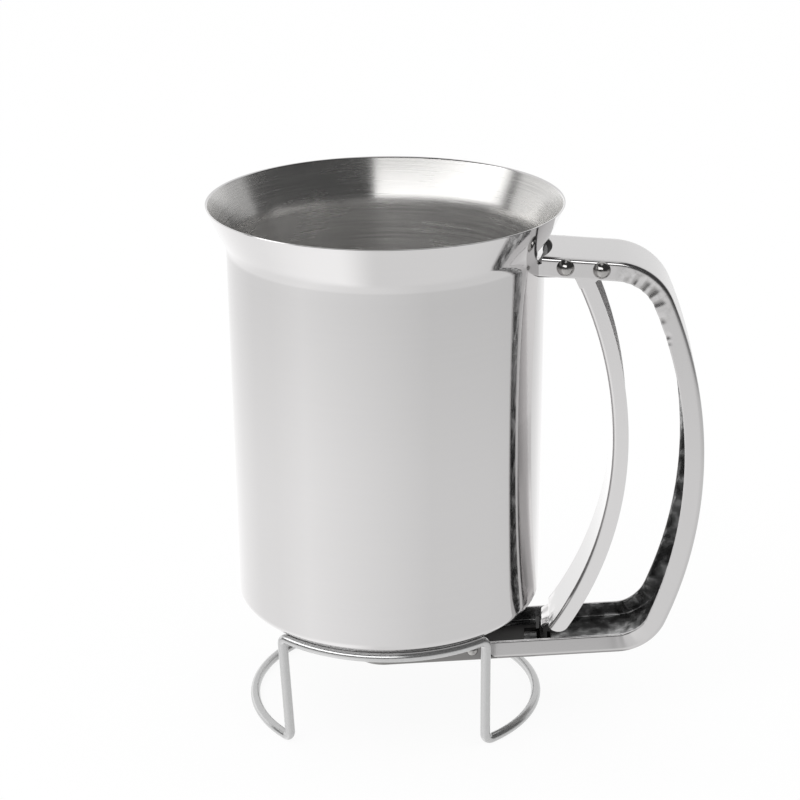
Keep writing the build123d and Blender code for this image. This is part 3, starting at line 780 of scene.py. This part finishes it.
def low_end(v, d):
    """s where the full-width channel stops; the walls' lower corners are rounded."""
    if abs(v) <= EAR_OUTER + TOLERANCE and d <= SHEET + TOLERANCE:
        return WALL_START
    height = max(0.0, min(WALL_CORNER, d - SHEET))
    return WALL_START + WALL_CORNER - sqrt(WALL_CORNER**2 - (WALL_CORNER - height) ** 2)


def sweep(name, stations, section, placed, materials):
    """Skin over sections placed along stations, closed by a cap at each end."""
    points = [placed(i, *corner) for i in range(len(stations)) for corner in section]
    count = len(section)
    faces = []
    indices = []
    for i in range(len(stations) - 1):
        for j in range(count):
            k = (j + 1) % count
            here, there = i * count, (i + 1) * count
            faces.append((here + j, there + j, there + k, here + k))
            indices.append(0 if section[j][2] and section[k][2] else 1)
    last = (len(stations) - 1) * count
    for j in range(count // 2 - 1):
        a, b, c, d = j, j + 1, count - 2 - j, count - 1 - j
        faces.append((a, b, c, d))
        faces.append((last + a, last + d, last + c, last + b))
        indices += [0, 0]
    return mesh_object(name, points, faces, materials, indices)


def make_channel():
    """The handle from the top arm to the end of the lower arm's full width."""
    stations, starts = handle_stations()
    reaches = [0.0]
    for (here, _), (there, _) in zip(stations, stations[1:]):
        reaches.append(reaches[-1] + (there - here).length)
    marks = [reaches[start] for start in starts] + [reaches[-1]]
    _, upper_bend, _, _, lower_arm, end = marks
    section = channel_section(HANDLE_WIDTH / 2, HANDLE_DEPTH, BEND, WEB_STOPS)

    def placed(i, v, d, outer, side):
        place, inward = stations[i]
        reach = reaches[i]
        across, deeper = handle_shift(reach, marks, place, v, d, outer, side)
        if reach < upper_bend:
            start = (top_end(v, d) - TOP_START.x - TOP_INWARD.x * d) / TOP_DIRECTION.x
            place = place + TOP_DIRECTION * (start * (1 - reach / upper_bend))
        elif reach > lower_arm:
            share = (reach - lower_arm) / (end - lower_arm)
            place = place + LOW_DIRECTION * (low_end(v, d) - WALL_START) * share
        spot = place + inward * (d + deeper)
        return spot.x, v + across, spot.y

    piece = sweep("handle_shell", stations, section, placed, [HANDLE, HOLLOW_SHADED])
    # Painted shade along each crease's steep flank on the walls' outer faces, kept on the points.
    darks = []
    for reach in reaches:
        for _, d, outer, side in section:
            rise = (d - BEND) / (HANDLE_DEPTH - BEND)
            darks.append(crease(reach - upper_bend, side, rise)[1] if side and outer else 0.0)
    attribute = piece.data.attributes.new(CREASE_SHADE_ATTRIBUTE, "FLOAT", "POINT")
    attribute.data.foreach_set("value", darks)
    return piece


def make_narrow_end():
    """The narrow end of the lower arm, with its two ears."""
    stations = line_stations(NARROW_START, NARROW_END, LOW_INWARD, NARROW_PITCH)
    stations.append((NARROW_END, LOW_INWARD))
    section = channel_section(EAR_OUTER, EAR_TOP, NARROW_BEND, NARROW_STOPS)

    def placed(i, v, d, outer, side):
        place, inward = stations[i]
        if d > SHEET:
            place = place - LOW_DIRECTION * (WALL_START - EAR_END) * (1 - i / (len(stations) - 1))
        spot = place + inward * d
        return spot.x, v, spot.y

    return sweep("handle_tail", stations, section, placed, [HOLLOW_SHADED])


def make_handle():
    piece = make_channel()
    tail = make_narrow_end()
    bpy.context.view_layer.update()
    with bpy.context.temp_override(active_object=piece, selected_editable_objects=[piece, tail]):
        bpy.ops.object.join()
    piece.data.set_sharp_from_angle(angle=SHARP_ANGLE)
    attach(piece, "dispenser")
    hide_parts("handle_channel")


# ---- what follows a path or repeats ----

class Tree(Graph):
    """A Geometry Nodes tree; its inputs are named as they are added."""

    def __init__(self, name, inputs):
        self.tree = bpy.data.node_groups.new(name, "GeometryNodeTree")
        self.tree.interface.new_socket("Geometry", in_out="OUTPUT",
                                       socket_type="NodeSocketGeometry")
        self.identifiers = {}
        for label, kind in {"Geometry": "NodeSocketGeometry", **inputs}.items():
            socket = self.tree.interface.new_socket(label, in_out="INPUT", socket_type=kind)
            self.identifiers[label] = socket.identifier
        self.entry = self.tree.nodes.new("NodeGroupInput")

    def input(self, label):
        return Value(self, self.entry.outputs[label])

    def finish(self, geometry):
        plain = self.add("GeometryNodeRealizeInstances", None, {"Geometry": geometry})
        coated = self.add("GeometryNodeSetMaterial", None,
                          {"Geometry": plain, "Material": self.input("Material")})
        self.add("NodeGroupOutput", None, {"Geometry": coated})

    def make(self, name, points, edges, values):
        """Plain mesh that the tree makes from points in millimetres; values are in metres."""
        seed = bpy.data.meshes.new(name)
        seed.from_pydata([[c * MM for c in p] for p in points], edges, [])
        source = bpy.data.objects.new(name + "_path", seed)
        bpy.context.scene.collection.objects.link(source)
        modifier = source.modifiers.new("making", "NODES")
        modifier.node_group = self.tree
        for label, value in values.items():
            modifier[self.identifiers[label]] = value
        evaluated = source.evaluated_get(bpy.context.evaluated_depsgraph_get())
        mesh = bpy.data.meshes.new_from_object(evaluated)
        source.modifiers.remove(modifier)
        bpy.data.objects.remove(source)
        mesh.name = name
        piece = bpy.data.objects.new(name, mesh)
        bpy.context.scene.collection.objects.link(piece)
        return piece


def wire_tree():
    """Draws a round wire along a path of edges."""
    tree = Tree("round_wire", {"Radius": "NodeSocketFloat", "Sides": "NodeSocketInt",
                               "Material": "NodeSocketMaterial"})
    path = tree.add("GeometryNodeMeshToCurve", None, {"Mesh": tree.input("Geometry")})
    ring = tree.add("GeometryNodeCurvePrimitiveCircle", None,
                    {"Resolution": tree.input("Sides"), "Radius": tree.input("Radius")})
    tube = tree.add("GeometryNodeCurveToMesh", None, {"Curve": path, "Profile Curve": ring})
    tree.finish(tree.add("GeometryNodeSetShadeSmooth", None, {"Geometry": tube}))
    return tree


def rivet_tree():
    """Puts a rivet across the handle at each point: a shank and a domed head at both ends."""
    tree = Tree("rivets", {"Head": "NodeSocketObject", "Width": "NodeSocketFloat",
                           "Shank Radius": "NodeSocketFloat", "Material": "NodeSocketMaterial"})
    places = tree.input("Geometry")
    head = tree.add("GeometryNodeObjectInfo", None, {"Object": tree.input("Head")}, out="Geometry")
    bar = tree.add("GeometryNodeMeshCylinder", None,
                   {"Vertices": SHANK_SIDES, "Radius": tree.input("Shank Radius"),
                    "Depth": tree.input("Width")})
    joined = tree.tree.nodes.new("GeometryNodeJoinGeometry")
    shanks = tree.add("GeometryNodeInstanceOnPoints", None,
                      {"Points": places, "Instance": bar, "Rotation": (radians(90), 0, 0)})
    tree.tree.links.new(shanks.socket, joined.inputs[0])
    for side in (-1, 1):
        turn = (radians(-90 * side), 0, 0)
        heads = tree.add("GeometryNodeInstanceOnPoints", None,
                         {"Points": places, "Instance": head, "Rotation": turn})
        shift = tree.vector(0.0, tree.input("Width") * (side / 2), 0.0)
        moved = tree.add("GeometryNodeTranslateInstances", None,
                         {"Instances": heads, "Translation": shift, "Local Space": False})
        tree.tree.links.new(moved.socket, joined.inputs[0])
    tree.finish(Value(tree, joined.outputs[0]))
    return tree


def rivet_head(name, head, rise):
    """Dome that is closed below; z = 0 is the sheet's face, in which it sits a little."""
    sphere = (head**2 + rise**2) / (2 * rise)
    reach = degrees(asin(head / sphere))
    dome = arc_points((0, rise - sphere), sphere, 90 - reach, 90, RIVET_STEPS)[:-1]
    foot = [(head * share, -RIVET_SEAT) for share in RIVET_FOOT]
    points = [(0, 0, rise), (0, 0, -RIVET_SEAT)] + turned(foot + dome, RIVET_SIDES)
    count = len(foot + dome)
    faces = []
    for i in range(RIVET_SIDES):
        here, there = 2 + i * count, 2 + (i + 1) % RIVET_SIDES * count
        faces += [(here + j, there + j, there + j + 1, here + j + 1) for j in range(count - 1)]
        faces.append((here + count - 1, there + count - 1, 0))
        faces.append((there, here, 1))
    return mesh_object(name, points, faces, [RIVET])


def middle_of(node):
    """Middle of a node's box, in millimetres."""
    low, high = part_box(node)
    return [(a + b) / 2 / MM for a, b in zip(low, high)]


def make_rivets():
    tree = rivet_tree()
    rows = (
        ("arm_rivets", ("bracket_rivet", "trigger_pivot"), HANDLE_WIDTH,
         RIVET_HEAD, RIVET_RISE, RIVET_SHANK),
        ("trough_rivets", ("trough_rivet",), TROUGH_WIDTH,
         LOW_RIVET_HEAD, LOW_RIVET_RISE, LOW_RIVET_SHANK),
    )
    for name, nodes, width, head, rise, shank in rows:
        dome = rivet_head("dome_pattern", head, rise)
        values = {"Head": dome, "Width": width * MM, "Shank Radius": shank * MM, "Material": RIVET}
        piece = tree.make(name, [middle_of(node) for node in nodes], [], values)
        bpy.data.objects.remove(dome)
        piece.data.polygons.foreach_set("use_smooth", [True] * len(piece.data.polygons))
        piece.data.set_sharp_from_angle(angle=SHARP_ANGLE)
        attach(piece, "dispenser")
        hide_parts(*nodes)


# The wire isn't bent quite true: the left foot stands inwards, and the right foot's arc is wider.
LEFT_FOOT_SHIFT = 1.7
RIGHT_FOOT_REACH = 1.9
RIGHT_FOOT_DEPTH = 6       # power of the depth: the widening starts close to the table
RIGHT_FOOT_BOW = 0.7       # power of the share from a leg to the arc's middle


def untrue_shift(x, depth):
    """How far the wire stands off its true place along X; depth is 0 at the top, 1 on the table."""
    if x < 0:
        return LEFT_FOOT_SHIFT * depth
    leg = STAND_RADIUS * sin(radians(STAND_SPREAD))
    share = max(0.0, (x - leg) / (STAND_RADIUS - leg))
    return RIGHT_FOOT_REACH * depth**RIGHT_FOOT_DEPTH * share**RIGHT_FOOT_BOW


def stand_path():
    """Middle of the wire: two upper arcs, four legs and two arcs on the table, in one round."""
    rise = CUP_CORNER + WIRE_RADIUS + SEAT_GAP
    offset_in = max(0.0, STAND_RADIUS - (CUP_RADIUS - CUP_CORNER))
    high = CUP_BASE + CUP_CORNER - sqrt(rise**2 - offset_in**2)
    low = WIRE_RADIUS
    trim = degrees(atan2(STAND_BEND, STAND_RADIUS))
    turn = radians(STAND_TURN)
    points = []

    def add(x, y, z):
        x += untrue_shift(x, (high - z) / (high - low))
        points.append((x * cos(turn) - y * sin(turn), x * sin(turn) + y * cos(turn), z))

    # Each row is an arc, which starts at a bearing and spans twice the half, and the leg after it.
    stretches = (
        (90 - STAND_SPREAD, STAND_SPREAD, high, low),
        (90 + STAND_SPREAD, 90 - STAND_SPREAD, low, high),
        (270 - STAND_SPREAD, STAND_SPREAD, high, low),
        (270 + STAND_SPREAD, 90 - STAND_SPREAD, low, high),
    )
    for start, half, height, end_height in stretches:
        for i in range(WIRE_ARC_STEPS + 1):
            here = radians(start + trim + (2 * half - 2 * trim) * i / WIRE_ARC_STEPS)
            add(STAND_RADIUS * cos(here), STAND_RADIUS * sin(here), height)
        end = radians(start + 2 * half - trim)
        tangent = Vector((-sin(end), cos(end)))
        seat = Vector((STAND_RADIUS * cos(end), STAND_RADIUS * sin(end)))
        sense = -1 if height > end_height else 1
        for i in range(1, WIRE_BEND_STEPS + 1):
            angle = radians(90 * i / WIRE_BEND_STEPS)
            spot = seat + tangent * STAND_BEND * sin(angle)
            add(spot.x, spot.y, height + sense * STAND_BEND * (1 - cos(angle)))
        leg = seat + tangent * STAND_BEND
        leg_start = height + sense * STAND_BEND
        leg_end = end_height - sense * STAND_BEND
        for i in range(1, WIRE_LEG_STEPS + 1):
            add(leg.x, leg.y, leg_start + (leg_end - leg_start) * i / WIRE_LEG_STEPS)
        begin = radians(start + 2 * half + trim)
        tangent = Vector((-sin(begin), cos(begin)))
        for i in range(1, WIRE_BEND_STEPS):
            angle = radians(90 * i / WIRE_BEND_STEPS)
            spot = leg + tangent * STAND_BEND * (1 - cos(angle))
            add(spot.x, spot.y, leg_end + sense * STAND_BEND * sin(angle))
    return points


def make_stand():
    points = stand_path()
    count = len(points)
    edges = [(i, (i + 1) % count) for i in range(count)]
    values = {"Radius": WIRE_RADIUS * MM, "Sides": WIRE_SIDES, "Material": WIRE}
    piece = wire_tree().make("stand_wire", points, edges, values)
    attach(piece, "stand")
    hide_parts("wire_stand")


make_cup()
make_handle()
make_rivets()
make_stand()
for node, material in {
    "outlet_funnel": PRESSED_SHADED,
    "outlet_eyelet": PRESSED_SHADED,
    "valve_trough": PRESSED_SHADED,
    "trough_cap": SHADED,
    "cup_bracket": SHADED,
    "valve_slide": SLIDE_SHADED,
    "trigger_lever": LEVER,
    "trigger_spring": SPRING,
}.items():
    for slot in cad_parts[node].material_slots:
        slot.material = material


# ---- studio ----

def place_camera():
    turn = Matrix.Rotation(radians(HANDLE_TURN - CAMERA_YAW), 4, "Z")
    tip = Matrix.Rotation(radians(90 - CAMERA_PITCH), 4, "X")
    roll = Matrix.Rotation(radians(CAMERA_ROLL), 4, "Z")
    spot = Vector((CAMERA_DISTANCE * sin(radians(HANDLE_TURN)),
                   -CAMERA_DISTANCE * cos(radians(HANDLE_TURN)), CAMERA_HEIGHT))
    data = bpy.data.cameras.new("view_camera")
    data.sensor_width = SENSOR
    data.lens = FOCAL_PIXELS / FRAME_PIXELS * SENSOR
    camera = bpy.data.objects.new("view_camera", data)
    camera.matrix_world = Matrix.Translation(spot) @ turn @ tip @ roll
    bpy.context.scene.collection.objects.link(camera)
    bpy.context.scene.camera = camera


# What polished steel mirrors. Turn is 0.5 towards the viewer and less to the viewer's left, rise is
# 0 straight down, 0.5 level and 1 straight up. A pair is where a border starts and ends, or the
# brightness on its two sides.
TABLE_STOPS = [(0.0, 1.15), (0.1, 1.12), (0.2, 1.0), (0.26, 1.0), (0.34, 1.06), (0.51, 0.9),
               (0.6, 0.81), (0.73, 0.8), (0.85, 0.76), (0.94, 1.08)]
TABLE_NEAR_RISE = (0.365, 0.41)
TABLE_NEAR_LIGHT = (1.02, 0.89)
UNDER_RISE = (0.16, 0.30)
UNDER_X = (-0.35, -0.02)
UNDER_LIGHT = (1.22, 0.88)
BACK_SLANT = 0.12          # how much further back the rear half starts on the right
BACK_Y = (0.25, 0.36)
BACK_LEFT_X = (-0.25, 0.3)
BACK_LEVEL_LIGHT = (0.92, 1.28)
BACK_RIGHT_X = (0.45, 0.7)
BACK_HIGH_LIGHT = (0.88, 0.45)
BACK_LEVEL_RISE = (0.44, 0.49)
BACK_HIGH_RISE = (0.52, 0.60)
PANEL_LEFT_TURN = (0.224, 0.246)
PANEL_RIGHT_TURN = (0.529, 0.541)
PANEL_FOOT_RISE = (0.60, 0.62)
PANEL_TOP_RISE = (0.72, 0.76)
PANEL_LIGHT = (0.055, 2.7)
TOP_RISE = (0.90, 0.95)
TOP_LIGHT = 0.8
BAND_RISE = (0.485, 0.535)
BAND_LIGHT = 0.26
FRONT_LEVEL_RISE = (0.43, 0.47)

FLOOR_REACH = 3000.0
FLOOR_WHITE = 0.92         # share of plain white that the eye sees on the floor
LAMP_SIZE = 0.7
LAMP_POWER = 2.0
LAMP_PLACE = (-0.5, -0.5, 1.1)
LAMP_AIM = Vector((0, 0, 0.08))


def studio_light():
    """White for the eye and for plain light; polished steel mirrors a room of soft panels."""
    world = bpy.data.worlds.new("studio")
    bpy.context.scene.world = world
    graph = Graph(world)
    direction = graph.add("ShaderNodeTexCoord", out="Generated")
    x, y, z = graph.split(direction)
    turn = x.math("ARCTAN2", -1 * y) / (2 * pi) + 0.5
    rise = z.math("ARCSINE") / pi + 0.5
    low = graph.ramp(turn, TABLE_STOPS, "LINEAR")
    low = low * graph.blend(graph.step(rise, *TABLE_NEAR_RISE), *TABLE_NEAR_LIGHT)
    behind = graph.step(y - x * BACK_SLANT, *BACK_Y)
    left = 1 - graph.step(x, *BACK_LEFT_X)
    far_right = graph.step(x, *BACK_RIGHT_X)
    level_back = graph.blend(left, *BACK_LEVEL_LIGHT)
    high_back = graph.blend(far_right, *BACK_HIGH_LIGHT)
    panel = graph.step(turn, *PANEL_LEFT_TURN) * (1 - graph.step(turn, *PANEL_RIGHT_TURN))
    panel = panel * graph.step(rise, *PANEL_FOOT_RISE) * (1 - graph.step(rise, *PANEL_TOP_RISE))
    dark = graph.blend(panel, *PANEL_LIGHT)
    front_high = graph.blend(graph.step(rise, *TOP_RISE), dark, TOP_LIGHT)
    front_high = graph.blend(graph.step(rise, *BAND_RISE), BAND_LIGHT, front_high)
    front_level = graph.blend(graph.step(rise, *FRONT_LEVEL_RISE), low, front_high)
    back_level = graph.blend(graph.step(rise, *BACK_LEVEL_RISE), low, level_back)
    back_level = graph.blend(graph.step(rise, *BACK_HIGH_RISE), back_level, high_back)
    room = graph.blend(behind, front_level, back_level)
    floor_glow = graph.blend(graph.step(x, *UNDER_X), *UNDER_LIGHT)
    room = graph.blend(graph.step(rise, *UNDER_RISE), floor_glow, room)
    mirrored = graph.add("ShaderNodeLightPath", out="Is Glossy Ray")
    seen = graph.blend(mirrored, 1.0, room)
    light = graph.add("ShaderNodeBackground", None, {"Color": seen, "Strength": 1.0})
    graph.add("ShaderNodeOutputWorld", None, {"Surface": light})


def floor_material():
    """Plain pale floor: white to the eye, with the object's own soft shadow kept."""
    material = bpy.data.materials.new("pale_floor")
    graph = Graph(material)
    matt = graph.add("ShaderNodeBsdfDiffuse", None, {"Color": (0.96, 0.96, 0.96, 1)})
    white = graph.add("ShaderNodeEmission", None, {"Color": (1, 1, 1, 1), "Strength": 1.0})
    eye = graph.add("ShaderNodeLightPath", out="Is Camera Ray")
    mixed = graph.add("ShaderNodeMixShader", None, {0: eye * FLOOR_WHITE, 1: matt, 2: white})
    graph.add("ShaderNodeOutputMaterial", None, {"Surface": mixed})
    return material


def lay_floor():
    signs = ((-1, -1), (1, -1), (1, 1), (-1, 1))
    corners = [(FLOOR_REACH * x, FLOOR_REACH * y, 0) for x, y in signs]
    piece = mesh_object("studio_floor", corners, [(0, 1, 2, 3)], [floor_material()])
    piece.visible_glossy = False


def hang_lamp():
    data = bpy.data.lights.new("soft_lamp", "AREA")
    data.shape = "DISK"
    data.size = LAMP_SIZE
    data.energy = LAMP_POWER
    lamp = bpy.data.objects.new("soft_lamp", data)
    lamp.location = LAMP_PLACE
    lamp.rotation_euler = (LAMP_AIM - lamp.location).to_track_quat("-Z", "Y").to_euler()
    lamp.visible_glossy = False
    bpy.context.scene.collection.objects.link(lamp)


place_camera()
studio_light()
lay_floor()
hang_lamp()
bpy.context.scene.view_settings.view_transform = "Standard"
